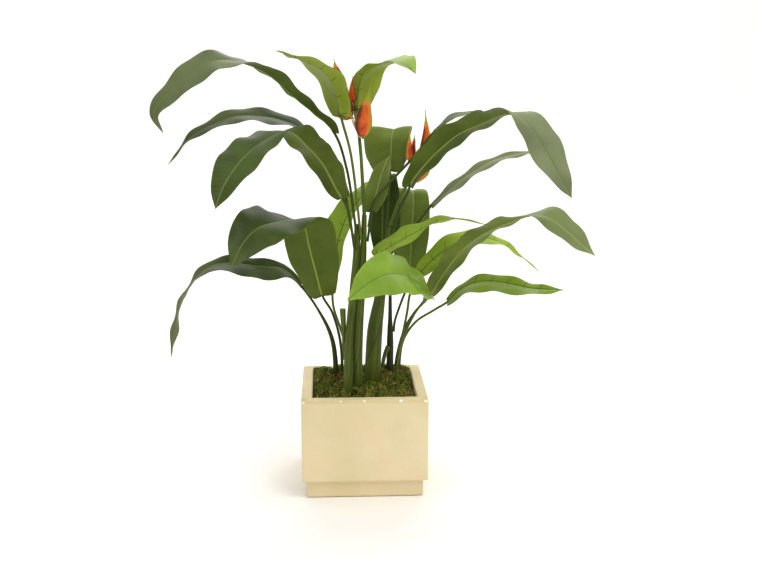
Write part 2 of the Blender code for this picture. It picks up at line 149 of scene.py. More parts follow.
# a grid sheet rolled into a closed tube, where rings[row, column] are its points
def rolledTube(name, rings, values=None):
    rows, around = rings.shape[0] - 1, rings.shape[1] - 1
    deselectAll()
    bpy.ops.mesh.primitive_grid_add(x_subdivisions=around, y_subdivisions=rows, size=2)
    tube = newest(name)
    flat = points(tube)
    column = np.rint((flat[:, 0] + 1) / 2 * around).astype(int)
    row = np.rint((flat[:, 1] + 1) / 2 * rows).astype(int)
    # no piece reaches past the box of the solids
    setPoints(tube, np.clip(rings, cadLow, cadHigh)[row, column])
    for key, table in (values or {}).items():
        addValues(tube, key, table[row, column])
    bpy.ops.object.mode_set(mode="EDIT")
    bpy.ops.mesh.select_all(action="SELECT")
    bpy.ops.mesh.remove_doubles(threshold=0.000002)
    bpy.ops.mesh.select_all(action="SELECT")
    bpy.ops.mesh.fill_holes(sides=0)
    bpy.ops.mesh.normals_make_consistent(inside=False)
    bpy.ops.object.mode_set(mode="OBJECT")
    smoothShade(tube)
    return tube


# shader maths

class Val:
    def __init__(self, shader, socket):
        self.shader = shader
        self.socket = socket

    def math(self, operation, *others):
        return self.shader.node("ShaderNodeMath", {"operation": operation},
                                {0: self, **{i + 1: other for i, other in enumerate(others)}})

    def __add__(self, other):
        return self.math("ADD", other)

    def __mul__(self, other):
        return self.math("MULTIPLY", other)

    def __sub__(self, other):
        return self.math("SUBTRACT", other)

    def __rsub__(self, other):
        return (self * -1.0) + other

    __radd__ = __add__
    __rmul__ = __mul__

    def abs(self):
        return self.math("ABSOLUTE")

    def sin(self):
        return self.math("SINE")

    # start below low, end above high, smooth between
    def ramp(self, low, high, start=0.0, end=1.0):
        return self.shader.node("ShaderNodeMapRange", {"interpolation_type": "SMOOTHSTEP"},
                                {"Value": self, "From Min": low, "From Max": high, "To Min": start,
                                 "To Max": end})


class Finish:
    def __init__(self, name, roughness=0.5, coat=0.0, coatRoughness=0.3, specular=0.5):
        self.material = bpy.data.materials.new(name)
        self.material.use_nodes = True
        self.tree = self.material.node_tree
        self.bsdf = self.tree.nodes["Principled BSDF"]
        for socket, value in (("Roughness", roughness), ("Coat Weight", coat),
                              ("Coat Roughness", coatRoughness), ("Specular IOR Level", specular)):
            self.bsdf.inputs[socket].default_value = value

    # any node: its settings first, then the values or links of its sockets; gives one of its outputs
    def node(self, kind, settings=None, sockets=None, output=0):
        made = self.tree.nodes.new(kind)
        for key, value in (settings or {}).items():
            setattr(made, key, value)
        for key, value in (sockets or {}).items():
            if isinstance(value, Val):
                self.tree.links.new(value.socket, made.inputs[key])
            else:
                made.inputs[key].default_value = value
        return Val(self, made.outputs[output])

    def place(self):
        return self.node("ShaderNodeTexCoord", output="Object")

    def value(self, name):
        return self.node("ShaderNodeAttribute", {"attribute_name": name}, output="Fac")

    def noise(self, scale, detail=3.0, vector=None, roughness=0.5, distortion=0.0):
        return self.node("ShaderNodeTexNoise", {}, {"Vector": vector or self.place(), "Scale": scale,
                         "Detail": detail, "Roughness": roughness, "Distortion": distortion})

    def cells(self, scale):
        return self.node("ShaderNodeTexVoronoi", {}, {"Vector": self.place(), "Scale": scale})

    def vector(self, x, y, z):
        return self.node("ShaderNodeCombineXYZ", {}, {0: x, 1: y, 2: z})

    def axis(self, name):
        return self.node("ShaderNodeSeparateXYZ", {}, {0: self.place()}, output=name)

    # the first colour where share is 0 and the second where it is 1; 6, 7 and 2 are the colour sockets
    def mix(self, share, first, second):
        return self.node("ShaderNodeMix", {"data_type": "RGBA"}, {0: share, 6: first, 7: second}, output=2)

    def link(self, value, socket):
        self.tree.links.new(value.socket, self.bsdf.inputs[socket])

    # gives the material its colour, its relief of this height and, where one is given, its roughness
    def surface(self, colour, height, strength, distance, roughness=None):
        self.link(colour, "Base Color")
        self.link(self.node("ShaderNodeBump", {}, {"Height": height, "Strength": strength,
                            "Distance": distance}), "Normal")
        if roughness:
            self.link(roughness, "Roughness")
        return self.material


# red, green and blue of 0 to 255 as the linear colour that a shader takes
def srgb(*parts):
    return (*[((c / 255 + 0.055) / 1.055) ** 2.4 if c > 10 else c / 255 / 12.92 for c in parts], 1.0)


# the run of stems and leaf stalks, the same smooth curve as the solids have

def unit(vectors):
    return vectors / np.linalg.norm(vectors, axis=-1, keepdims=True)


def smoothPath(knots, steps=24):
    knots = np.array(knots, float)
    ends = np.vstack([2 * knots[0] - knots[1], knots, 2 * knots[-1] - knots[-2]])
    gaps = np.sqrt(np.linalg.norm(np.diff(ends, axis=0), axis=1)) + 1e-9
    run = []
    marks = []
    for i in range(1, len(ends) - 2):
        before, start, end, after = ends[i - 1:i + 3]
        d0, d1, d2 = gaps[i - 1:i + 2]
        leave = d1 * ((start - before) / d0 - (end - before) / (d0 + d1) + (end - start) / d1)
        arrive = d1 * ((end - start) / d1 - (after - start) / (d1 + d2) + (after - end) / d2)
        last = i == len(ends) - 3
        t = np.linspace(0, 1, steps + 1)[: None if last else -1, None]
        run.append(start * (2 * t**3 - 3 * t**2 + 1) + leave * (t**3 - 2 * t**2 + t)
                   + end * (3 * t**2 - 2 * t**3) + arrive * (t**3 - t**2))
        marks.append(i - 1 + t[:, 0])
    return np.vstack(run), np.concatenate(marks)


# count stations along a path, closer where it bends and on the blade
def stations(run, marks, count, bladeFrom, bend=0.05):
    step = np.linalg.norm(np.diff(run, axis=0), axis=1)
    along = np.concatenate([[0], np.cumsum(step)])
    tangent = unit(np.gradient(run, along, axis=0))
    turn = np.linalg.norm(np.diff(tangent, axis=0), axis=1)
    start = np.interp(bladeFrom, marks, along)
    near = 2.5 * np.exp(-((along[1:] - start - 8 * mm) / (14 * mm)) ** 2)
    weight = np.where(along[1:] > start, 1.0, 0.45) + near
    effort = np.concatenate([[0], np.cumsum(step * weight + bend * turn)])
    wanted = np.interp(np.linspace(0, effort[-1], count), effort, along)
    placed = np.column_stack([np.interp(wanted, along, run[:, k]) for k in range(3)])
    tangents = unit(np.column_stack([np.interp(wanted, along, tangent[:, k]) for k in range(3)]))
    return placed, tangents, wanted, np.interp(wanted, along, marks)


# stems and flower stalks

stems = {
    "stem_a_left": dict(
        middle=[(-33, -56, 150), (-29, -46, 300), (-21, -34, 390), (-13, -25, 480), (-11, -21, 535)],
        radii=[9.6, 9.0, 8.1, 7.2, 6.0], skin="green pseudostem"),
    "stem_a_right": dict(
        middle=[(-13, -30, 150), (-11.7, -36, 300), (-5, -27.5, 390), (0.5, -19.5, 480), (3, -15, 552)],
        radii=[11.4, 10.6, 8.7, 6.8, 5.2], skin="green pseudostem", phase=0.37),
    "stem_b": dict(
        middle=[(18, 7, 150), (24.5, 6, 310), (34, 5, 375), (51, 5, 498), (55, 5, 525)],
        radii=[18.0, 16.0, 12.0, 6.5, 5.2], skin="green pseudostem", phase=0.74),
    "stem_c": dict(
        middle=[(57, 44, 150), (58, 45, 272), (58, 45, 330), (58, 45, 400)],
        radii=[8.0, 7.4, 4.6, 3.0], skin="dark pseudostem", phase=1.11),
}
flowerStalks = {
    "flower_stalk_left": dict(
        middle=[(3, -15, 552.8), (-1, -16, 630), (-5, -13, 692), (-10, -7, 728), (-14, -7, 750),
                (-15, -7, 768)],
        radii=[4.0, 3.6, 3.3, 3.0, 2.6, 2.2], skin="flower stalk"),
    "flower_stalk_right": dict(
        middle=[(55.6, 5.4, 526.3), (73, 14, 575), (88, 21, 604), (97, 28, 630), (103, 32, 658)],
        radii=[3.8, 3.4, 3.2, 2.8, 2.0], skin="flower stalk"),
}
stubs = {
    "cut_stub_left": dict(
        middle=[(-38, -37.8, 262), (-39.6, -35.5, 318), (-41.5, -33, 366)],
        radii=[3.4, 5.0, 6.4], skin="cut stub"),
    "cut_stub_right": dict(
        middle=[(40.8, 12.6, 234), (44.6, 13.8, 254), (52, 16, 274)],
        radii=[3.8, 4.4, 5.2], skin="cut stub"),
}
stemLook = dict(around=36, rows=90, sheathDepth=0.45, sheathTurns=1.3)
flowerStalkLook = dict(around=24, rows=40, sheathDepth=0.15, sheathTurns=0.3)
stubLook = dict(around=24, rows=20, sheathDepth=0.4, sheathTurns=0.2)
sheathLook = dict(lip=0.12, drop=0.8, ribs=9, ribHigh=0.06)  # as shares of a turn and of the depth
stemSkinLook = {
    "green pseudostem": dict(body=(82, 98, 24), dark=(52, 66, 14), light=(112, 128, 38), rust=0.55),
    "dark pseudostem": dict(body=(46, 58, 18), dark=(28, 36, 12), light=(68, 82, 28), rust=0.25),
    "flower stalk": dict(body=(92, 114, 32), dark=(64, 82, 22), light=(124, 144, 46), rust=0.0),
    "cut stub": dict(body=(90, 104, 32), dark=(62, 72, 22), light=(118, 130, 46), rust=0.4),
}


def tubeRings(middle, radii, around, rows, sheathDepth, sheathTurns, phase=0.0):
    run, marks = smoothPath(np.array(middle, float) * mm)
    places, tangents, along, marks = stations(run, marks, rows, 0)
    radius = np.interp(marks, np.arange(len(radii)), radii) * mm
    side = unit(np.array([1.0, 0, 0]) - tangents * tangents[:, :1])
    normal = np.cross(side, tangents)
    turns = np.linspace(math.pi, -math.pi, around + 1)
    share = along[:, None] / along[-1]
    # the leaf sheaths wrap round the stem: each ends in a low step that climbs as it goes round
    wrap = ((turns[None, :] / math.tau + share * sheathTurns + phase) * 2) % 1
    step = np.clip((1 - wrap) / sheathLook["lip"], 0, 1) * wrap
    ribs = sheathLook["ribHigh"] * np.sin(turns * sheathLook["ribs"])[None, :] * np.ones_like(share)
    reach = radius[:, None] - sheathDepth * mm * (1 - step) * sheathLook["drop"] + ribs * sheathDepth * mm
    rings = places[:, None] + reach[..., None] * (np.cos(turns)[None, :, None] * side[:, None]
                                                  + np.sin(turns)[None, :, None] * normal[:, None])
    values = dict(run=np.repeat(along[:, None], around + 1, axis=1),
                  turn=np.repeat(turns[None, :], rows, axis=0), wrap=wrap * np.ones_like(rings[..., 0]))
    return rings, values


# broad soft bands along the stem, dark at the sheath edges, with a few rusty scars
def stemFinish(name, body, dark, light, rust):
    f = Finish(name, roughness=0.46, specular=0.22)
    body, dark, light = srgb(*body), srgb(*dark), srgb(*light)
    run = f.value("run")
    turn = f.value("turn")
    wrap = f.value("wrap")
    long = f.noise(1.0, 3, f.vector(turn.sin() * 2.2, turn.math("COSINE") * 2.2, run * 6))
    fine = f.noise(1.0, 3, f.vector(turn.sin() * 24, turn.math("COSINE") * 24, run * 26))
    blot = f.noise(9.0, 3)
    colour = f.mix(long.ramp(0.32, 0.68), dark, body)
    colour = f.mix(blot.ramp(0.5, 0.75, 0, 0.6), colour, light)
    colour = f.mix(fine.ramp(0.45, 0.8, 0, 0.3), colour, light)
    colour = f.mix(wrap.ramp(0.86, 1.0, 0, 0.75), colour, srgb(34, 44, 14))
    scar = f.noise(1.0, 2, f.vector(turn.sin() * 3, turn.math("COSINE") * 3, run * 22))
    colour = f.mix(scar.ramp(0.62, 0.68, 0, rust), colour, srgb(96, 54, 22))
    return f.surface(colour, fine + long * 2, 0.35, 0.0006, long.ramp(0.3, 0.8, 0.38, 0.58))


# leaves, each from its foot along a curve in the upright plane of its heading

stalkRadius = 2.6
seatGap = 0.3  # between a stalk and the stem it stands against
leafLook = dict(flattenIn=9, lobe=15, waveLength=69, wave=2.8, thickness=0.9, slimmest=0.5, fold=14, cup=-10,
                veinStep=9.5, veins=0.06, ribWidth=1.9, ribHigh=1.7, ribSunk=0.35, rough=1.0, rows=200,
                across=[0, 0.03, 0.07, 0.14, 0.25, 0.38, 0.52, 0.66, 0.8, 0.92, 0.985])
veinSweep = (0.30, 5.0)  # how far the side veins lean to the tip, by distance from the rib and by its square


# where a stalk of the usual thickness stands against a stem, at this height and on this side
def beside(stem, height, bearing):
    path, marks = smoothPath(stems[stem]["middle"])
    x, y = [np.interp(height, path[:, 2], path[:, k]) for k in range(2)]
    mark = np.interp(height, path[:, 2], marks)
    reach = np.interp(mark, range(len(stems[stem]["radii"])), stems[stem]["radii"]) + stalkRadius + seatGap
    side = math.radians(bearing)
    return x + reach * math.cos(side), y + reach * math.sin(side)


# a leaf is dark where no tone is given
leaves = {
    "leaf_top_left": dict(
        root=beside("stem_a_left", 522, 256), heading=212, bladeFrom=2, halves=(43, 30), full=2.8,
        knots=[(0, 522), (22, 648), (51, 719), (128, 780), (212, 839), (303, 852), (370, 811),
               (415, 763), (400, 730)],
        roll=(-5, -5, 0, -30, -34, -32, -30)),
    "leaf_mid_left": dict(
        root=beside("stem_a_left", 505, 137), heading=190, bladeFrom=1, halves=(40, 28), full=1.8,
        knots=[(0, 505), (37, 665), (82, 710), (142, 741), (222, 749), (267, 735), (312, 710),
               (357, 660)],
        roll=(10, -22, -25, -15)),
    "leaf_front_left": dict(
        root=beside("stem_a_left", 485, 244), heading=238, bladeFrom=1.5, halves=(38, 40), widest=0.45,
        full=5.0,
        knots=[(0, 485), (26, 570), (66, 612), (114, 665), (164, 700), (224, 731), (304, 718),
               (369, 690), (414, 655), (439, 620)],
        roll=(15, 5, 10, -20, -25)),
    "leaf_fold_left": dict(
        root=(-42, 52), heading=235, bladeFrom=3, halves=(56, 52), full=4.0, foot=3.4,
        knots=[(0, 160), (5, 270), (35, 345), (68, 385), (92, 442), (113, 495), (127, 535), (153, 551),
               (205, 555), (275, 550), (320, 525), (350, 490)],
        roll=(25, 25, 3, -40, -50)),
    "leaf_low_left": dict(
        root=(-53, 57), heading=195, bladeFrom=3, halves=(40, 20), full=3.0, foot=6.5,
        knots=[(0, 160), (10, 280), (42, 350), (78, 402), (110, 435), (155, 443), (235, 455),
               (270, 445), (315, 390), (335, 330), (345, 270)],
        roll=(-10, -35, -45, -25, -5, 5, -20, -30)),
    "leaf_back_left": dict(
        root=(-27, 70), heading=60, bladeFrom=4, halves=(40, 18), foot=3.2, tone="light",
        knots=[(0, 160, 0), (0, 250, -6), (0, 300, -22), (5, 340, -40), (8, 372, -44), (15, 460, -38),
               (35, 520, -28), (70, 560, -15), (120, 590, 0), (170, 600, 15)],
        roll=(0, 0)),
    "leaf_top_centre": dict(
        root=beside("stem_a_left", 505, 328), heading=222, bladeFrom=2, halves=(34, 54), tone="light",
        knots=[(0, 505), (27, 675), (52, 748), (60, 782), (75, 813), (101, 836), (149, 854),
               (208, 870)],
        roll=(0, 0, 0)),
    "leaf_top_right": dict(
        root=beside("stem_a_right", 520, 66), heading=300, bladeFrom=2, halves=(60, 17), tone="light",
        knots=[(0, 520), (-14, 640), (-30, 755), (-25, 795), (-6, 828), (36, 842), (93, 850),
               (133, 845), (173, 830)],
        roll=(0, 0, 8, 10)),
    "leaf_back_centre": dict(
        root=beside("stem_a_right", 498, 32), heading=55, bladeFrom=1, halves=(27, 27), tone="light",
        knots=[(0, 498), (16, 555), (38, 600), (62, 640), (82, 662)],
        roll=(0, 0)),
    "leaf_back_upright": dict(
        root=beside("stem_b", 440, 83), heading=72, bladeFrom=2, halves=(58, 42),
        knots=[(0, 440), (20, 530), (44, 630), (52, 670), (60, 702), (74, 714), (94, 695), (100, 650)],
        roll=(-5, -5)),
    "leaf_behind_left": dict(
        root=beside("stem_b", 400, 85), heading=85, bladeFrom=1, halves=(27, 38),
        knots=[(0, 400), (35, 455), (52, 520), (62, 580), (80, 612), (112, 614), (146, 592)],
        roll=(0, 0)),
    "leaf_behind_right": dict(
        root=beside("stem_c", 296, 35), heading=90, bladeFrom=5, halves=(42, 36),
        knots=[(0, 296, 0), (8, 317, 3), (15, 334, 9), (24, 356, 18), (36, 378, 28), (51, 405, 35),
               (58, 480, 41), (65, 560, 45), (80, 580, 45), (120, 575, 45), (168, 540, 45)],
        roll=(0, 0)),
    "leaf_right_behind": dict(
        root=beside("stem_a_right", 528, 357), heading=10, bladeFrom=4, halves=(24, 20),
        knots=[(0, 528), (12, 580), (40, 612), (95, 668), (135, 715), (185, 745), (222, 751),
               (255, 736)],
        roll=(0, 0)),
    "leaf_right_arched": dict(
        root=beside("stem_b", 512, 320), heading=325, bladeFrom=2.5, halves=(40, 44), widest=0.5, full=3.5,
        knots=[(0, 512), (18, 565), (34, 595), (46, 622), (84, 665), (144, 714), (195, 737), (256, 757),
               (296, 736), (323, 698), (352, 654), (380, 610)],
        roll=(-22, -24, -22, -18, -10, 12, 32, 38, 40)),
    "leaf_right_narrow": dict(
        root=beside("stem_b", 472, 11), heading=8, bladeFrom=3, halves=(11, 23), full=2.5,
        knots=[(0, 472), (27, 505), (57, 535), (82, 565), (122, 600), (162, 630), (202, 652),
               (242, 664), (277, 669), (317, 666)],
        roll=(20, 25, 25)),
    "leaf_low_right": dict(
        root=(71, 78), heading=325, bladeFrom=5, halves=(38, 36), widest=0.6, full=3.0, foot=4.2,
        knots=[(0, 160), (1, 215), (10, 262), (26, 305), (49, 340), (77, 370), (117, 430), (157, 480),
               (197, 512), (262, 545), (328, 562), (380, 535), (410, 513), (437, 495)],
        roll=(-28, -28, -22, -16, -14, 12, 30, 32, 30)),
    "leaf_right_light": dict(
        root=(69, 47), heading=8, bladeFrom=7, halves=(29, 34), full=1.5, foot=3.2, tone="light",
        knots=[(0, 160), (2, 205), (6, 245), (12, 276), (19, 307), (25, 338), (32, 380), (53, 420),
               (88, 455), (120, 476), (148, 486), (183, 490), (220, 480), (266, 450), (312, 412)],
        roll=(35, 30, 20, 10)),
    "leaf_foot_right": dict(
        root=(80, 83), heading=335, bladeFrom=5, halves=(20, 40), full=2.5, foot=3.2, tone="light",
        knots=[(0, 160), (0, 215), (9, 270), (36, 312), (76, 341), (108, 363), (133, 389), (163, 406),
               (203, 413), (243, 410), (283, 405), (350, 407)],
        roll=(30, 30, 25)),
    "leaf_front": dict(
        root=(71, 69), heading=240, bladeFrom=4, halves=(54, 46), widest=0.46, foot=3.2, tone="light",
        knots=[(0, 160, 0), (0, 215, -3), (0, 270, -14), (10, 335, -47), (27, 390, -88), (79, 418, -90),
               (148, 448, -88), (217, 460, -86), (287, 452, -80), (345, 435, -76)],
        roll=(-50, -50, -45)),
    "leaf_centre_right": dict(
        root=beside("stem_a_right", 396, 343), heading=345, bladeFrom=2, halves=(34, 34), widest=0.3,
        full=0.8, tone="light",
        knots=[(0, 396), (6, 440), (18, 470), (47, 492), (80, 512), (108, 528), (135, 544), (172, 552),
               (240, 543)],
        roll=(30, 25, 0)),
}


def bladeOutline(u, widest, full):
    base = (1 - (1 - np.clip(u / widest, 0, 1)) ** 2.6) ** 0.48
    tip = 1 - np.clip((u - widest) / (1 - widest), 0, 1) ** full
    return base * tip


# how far out and how high half a blade reaches at each share of its width, as its fold eases into a brim;
# narrow has one value a row and flattens the fold where the blade is slim
def halfSection(shares, fold, cup, narrow):
    count = 200
    steps = np.linspace(0, 1, count + 1)
    eased = np.clip((steps - 0.3) / 0.4, 0, 1)
    tilt = np.radians(fold + cup * eased**2 * (3 - 2 * eased)) * narrow[:, None]
    out = (np.cumsum(np.cos(tilt), axis=1) - np.cos(tilt[:, :1])) / count
    high = (np.cumsum(np.sin(tilt), axis=1) - np.sin(tilt[:, :1])) / count
    at = np.rint(shares * count).astype(int)
    return out[:, at], high[:, at], tilt[:, at]


# rings and surface values of one leaf or bract
def leafRings(look, root, heading, knots, bladeFrom, halves, roll=(0, 0), phase=0.0, foot=stalkRadius,
              widest=0.38, full=2.0, sink=0.0, tipVeins=0.0, outline=bladeOutline):
    fold, cup, rows, thickness = look["fold"], look["cup"], look["rows"], look["thickness"]
    angle = math.radians(heading)
    out = np.array([math.cos(angle), math.sin(angle), 0])
    right = np.cross(out, up)
    knots = np.array([tuple(knot) + (0,) * (3 - len(knot)) for knot in knots], float)
    world = np.array([*root, 0]) + knots[:, :1] * out + knots[:, 1:2] * up + knots[:, 2:] * right
    run, marks = smoothPath(world * mm)
    places, tangents, along, marks = stations(run, marks, rows, bladeFrom)
    start = np.interp(bladeFrom, marks, along)
    u = np.clip((along - start) / (along[-1] - start), 0, 1)
    turn = np.radians(np.interp(np.clip((marks - bladeFrom) / (len(knots) - 1 - bladeFrom), 0, 1),
                                np.linspace(0, 1, len(roll)), roll))[:, None]
    flatSide = unit(right - tangents * (tangents @ right)[:, None])
    flatNormal = np.cross(flatSide, tangents)
    side = flatSide * np.cos(turn) - flatNormal * np.sin(turn)
    normal = flatNormal * np.cos(turn) + flatSide * np.sin(turn)
    flat = np.clip((along - start) / (look["flattenIn"] * mm), 0, 1)
    flat = (flat**2 * (3 - 2 * flat))[:, None]
    shareOf = outline(u, widest, full)
    widths = [np.maximum(half * mm * shareOf, look["slimmest"] * mm) for half in halves]
    narrow = np.minimum(1, np.minimum(*widths) / (4 * thickness * mm))
    stalk = np.interp(marks, (0, 1, 2), (foot, (foot + stalkRadius) / 2, stalkRadius))[:, None] * mm

    # v runs over the upper side from edge to edge and back over the under side, where layer is below 0
    half = np.array(look["across"])
    top = np.concatenate([[-1], -half[:0:-1], half, [1]])
    v = np.concatenate([top, top[-2::-1]])
    layer = np.concatenate([[0], np.ones(len(top) - 2), [0], -np.ones(len(top) - 2), [0]])
    circle = np.linspace(math.pi, -math.pi, len(v))
    reach, lift, tilt = halfSection(np.abs(v), fold, cup, narrow)
    deep = halfSection(np.array([1.0]), fold, cup, narrow)[1]
    hand = np.sign(v)
    width = np.where(hand > 0, widths[1][:, None], widths[0][:, None])
    x = width * reach * hand
    rib = np.exp(-(width * v / (look["ribWidth"] * mm)) ** 2)
    thick = thickness / 2 * mm * np.minimum(1, 0.45 + (1 - np.abs(v)) * 6) * np.ones_like(width)
    thick = np.where(layer < 0, thick + rib * look["ribHigh"] * mm * (1 - 0.8 * u[:, None]),
                     thick - rib * look["ribSunk"] * mm)
    s = (along - start)[:, None] - veinSweep[0] * np.abs(x) - veinSweep[1] * x**2
    share = np.clip((np.abs(v) - 0.04) / 0.2, 0, 1) * np.clip(u[:, None] * 12, 0, 1)
    ripple = np.sin(math.tau * along[:, None] / (look["waveLength"] * mm) + phase + hand) * v**2
    ripple = ripple * look["wave"] * mm * np.minimum(1, width / (12 * mm))
    veinHigh = look["veins"] + tipVeins * np.clip(u[:, None] * 4 - 2.6, 0, 1)
    ribs = veinHigh * mm * share * np.sin(math.tau * s / (look["veinStep"] * mm))
    # slow dents, the same on both faces
    dents = [[noise.noise((along[i] * 24 + phase * 7, across * 30, phase)) for across in x[i]]
             for i in range(rows)]
    dents = np.array(dents) * look["rough"] * mm * share
    high = width * (lift - sink * deep) + layer * thick * np.cos(tilt) + ripple + ribs + dents
    wide = x - hand * layer * thick * np.sin(tilt)
    # the blade's lobes reach back past its start, and the stalk's round section flattens into the blade
    back = look["lobe"] * mm * v**2 * np.maximum(0, 1 - u[:, None] * 9)
    a = flat * wide + (1 - flat) * stalk * np.cos(circle)
    b = flat * high + (1 - flat) * stalk * np.sin(circle)
    rings = places[:, None] + side[:, None] * a[..., None] + normal[:, None] * b[..., None] \
        - tangents[:, None] * (flat * back)[..., None]
    values = dict(run=(along - start)[:, None] + 0 * x, across=x, edge=v + 0 * x, tip=u[:, None] + 0 * x,
                  under=(layer < 0) * flat, blade=flat + 0 * x)
    return rings, values


leafSkinLook = {
    "dark": dict(upper=(62, 78, 22), upperDark=(43, 57, 13), lower=(88, 104, 34), lowerDark=(70, 86, 24),
                 rib=(98, 116, 50), ribUnder=(142, 158, 62), vein=(36, 48, 16), stalk=(60, 74, 24),
                 sheen=0.45),
    # between the dark and the light greens; on leaf_back_centre it is painted shade on a light leaf
    "middling": dict(upper=(112, 130, 54), upperDark=(86, 102, 38), lower=(114, 132, 52),
                     lowerDark=(92, 108, 38), rib=(136, 152, 82), ribUnder=(146, 160, 80), vein=(46, 60, 22),
                     stalk=(66, 82, 28), sheen=0.42),
    # the light green's under side is paler, partly its own colour and partly painted light shining through
    # the leaf
    "light": dict(upper=(142, 168, 52), upperDark=(118, 144, 38), lower=(158, 176, 60),
                  lowerDark=(132, 152, 46), rib=(150, 172, 70), ribUnder=(152, 168, 72), vein=(54, 66, 20),
                  stalk=(88, 106, 36), sheen=0.44, ribWidth=0.7, strokes=0.6),
    # a light green painted brighter, as painted light for a light leaf whose seen side lies in shade
    "paintedLit": dict(upper=(142, 168, 54), upperDark=(120, 146, 42), lower=(178, 194, 76),
                   lowerDark=(158, 176, 62), rib=(168, 186, 84), ribUnder=(170, 182, 84), vein=(66, 78, 26),
                   stalk=(96, 112, 42), sheen=0.44, ribWidth=0.7, strokes=0.6),
    "glossy": dict(upper=(136, 168, 58), upperDark=(112, 144, 42), lower=(150, 174, 60),
                   lowerDark=(126, 150, 46), rib=(160, 184, 92), ribUnder=(152, 168, 72), vein=(92, 122, 34),
                   stalk=(88, 106, 36), sheen=0.3, ribWidth=0.7, strokes=0.35),
}
# leaves that differ from the green of their tone; leaf_top_centre takes a light leaf's green painted
# brighter, as painted light on its shaded side, and leaf_back_centre a light leaf's green painted darker, as
# painted shade
ownGreen = dict(leaf_front="glossy", leaf_back_centre="middling", leaf_back_upright="middling",
                leaf_low_right="middling", leaf_behind_right="middling", leaf_top_centre="paintedLit")
# how strong the painted sheen on the outer end of a leaf is, a grey that stands in for the reflection of the
# bright room, and from which share of its length on
sheenByLeaf = dict(leaf_top_left=(0.45, 0.35), leaf_mid_left=(0.2, 0.3), leaf_front_left=(0.06, 0.5),
             leaf_fold_left=(0.15, 0.7), leaf_low_left=(0.5, 0.45), leaf_right_arched=(0.75, 0.42),
             leaf_low_right=(0.5, 0.5), leaf_right_narrow=(0.75, -0.2), leaf_right_behind=(0.3, 0.2))
# higher side veins at the ends of some leaves, in millimetres
ridgedTips = dict(leaf_front_left=0.22, leaf_fold_left=0.2, leaf_right_arched=0.16)


# strokes is how strongly short dark side veins show; 0 leaves them out and keeps a pale rib
def leafFinish(name, sheen, ribWidth=1.0, strokes=0.0, **colours):
    upper, upperDark, lower, lowerDark, rib, ribUnder, veinDark, stalk = [srgb(*colours[key]) for key in (
        "upper", "upperDark", "lower", "lowerDark", "rib", "ribUnder", "vein", "stalk")]
    f = Finish(name, roughness=sheen, specular=0.13)
    run, x, edge, under, blade = [f.value(key) for key in ("run", "across", "edge", "under", "blade")]
    wide = x.abs()
    s = run - wide * veinSweep[0] - wide * wide * veinSweep[1]
    wobble = f.noise(14.0, 2)
    fineLines = (s * (math.tau / 0.0021) + wobble * 3.0).sin()
    veinLines = (s * (math.tau / (leafLook["veinStep"] * mm)) + wobble * 1.5).sin().ramp(0.55, 1.0)
    cloud = f.noise(11.0, 4, distortion=0.4)
    patch = f.noise(30.0, 3)
    body = f.mix(cloud.ramp(0.3, 0.7), upperDark, upper)
    below = f.mix(cloud.ramp(0.3, 0.7), lowerDark, lower)
    body = f.mix(under.ramp(0.4, 0.6), body, below)
    body = f.mix(patch.ramp(0.45, 0.75, 0, 0.25), body, upperDark)
    body = f.mix(veinLines * 0.07, body, rib)
    body = f.mix(fineLines.ramp(-0.4, 1, 0, 0.08), body, upperDark)
    # a pale line along the edges: painted highlight where the edges catch the light
    body = f.mix(edge.abs().ramp(0.93, 1.0, 0, 0.35), body, rib)
    # painted sheen: the drooping ends are painted grey on the upper side, standing in for the reflection of
    # the bright room
    paintedSheen = f.value("painted_sheen") * cloud.ramp(0.25, 0.6, 0.65, 1.0) * under.ramp(0.4, 0.6, 1.0, 0.25)
    body = f.mix(paintedSheen, body, f.mix(fineLines.ramp(-0.6, 1), srgb(120, 130, 92), srgb(136, 145, 108)))
    line = wide.ramp(0.0008 * ribWidth, 0.0019 * ribWidth, 1, 0)
    ribHere = f.mix(under.ramp(0.4, 0.6), rib, ribUnder)
    if strokes:
        # short dark side veins that leave the rib in a few places
        strokeStep = 0.034
        row = (s + f.noise(6.0, 1) * 0.02) * (1 / strokeStep)
        stroke = (row.math("FRACT") - 0.5).abs().ramp(0.012, 0.04, 1, 0)
        length = f.noise(1.0, 1, f.vector(row.math("FLOOR") * 3.7, edge.math("SIGN") * 5.1, 0.0))
        stroke = stroke * (wide - length * 0.036 + 0.004).ramp(-0.003, 0.001, 1, 0)
        body = f.mix(stroke * strokes, body, veinDark)
        body = f.mix(line * 0.9, body, veinDark)
        body = f.mix(line * under * 0.6, body, ribUnder)
    else:
        body = f.mix(line * 0.85, body, ribHere)
    colour = f.mix(blade.ramp(0.3, 1.0), stalk, body)
    height = fineLines * 0.25 + veinLines * 0.35 + patch * 1.2
    return f.surface(colour, height, 0.35, 0.0003, cloud.ramp(0.25, 0.75, sheen - 0.06, sheen + 0.12))


# bracts, folded like a boat

